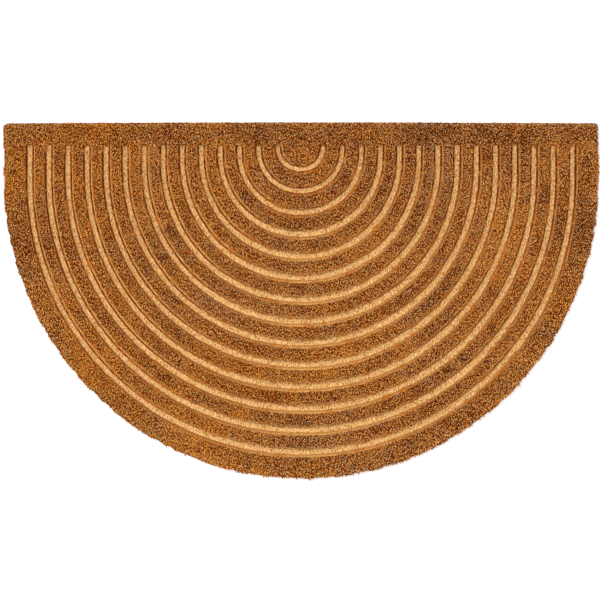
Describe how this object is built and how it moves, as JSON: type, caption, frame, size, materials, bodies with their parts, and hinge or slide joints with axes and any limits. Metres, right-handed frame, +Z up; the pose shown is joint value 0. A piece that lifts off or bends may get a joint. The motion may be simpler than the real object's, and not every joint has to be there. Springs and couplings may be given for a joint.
{
  "type": "half-round coir doormat",
  "caption": "Flat half-round doormat of stiff coir pile, with nested U-shaped arcs pressed into its top and a plain band along its straight edge.",
  "frame": {"origin": "centre of the mat's underside, in the middle of its bounding box", "axes": "+X along the straight edge, +Y towards the straight edge at the back, +Z up from the floor"},
  "size_m": [0.75, 0.45, 0.015],
  "materials": {
    "coir": "matt brown cut pile, pale and smoother where the arcs are pressed",
    "underside": "plain matt moulded face"
  },
  "bodies": {
    "root": {"mat": "coir"}
  },
  "joints": []
}
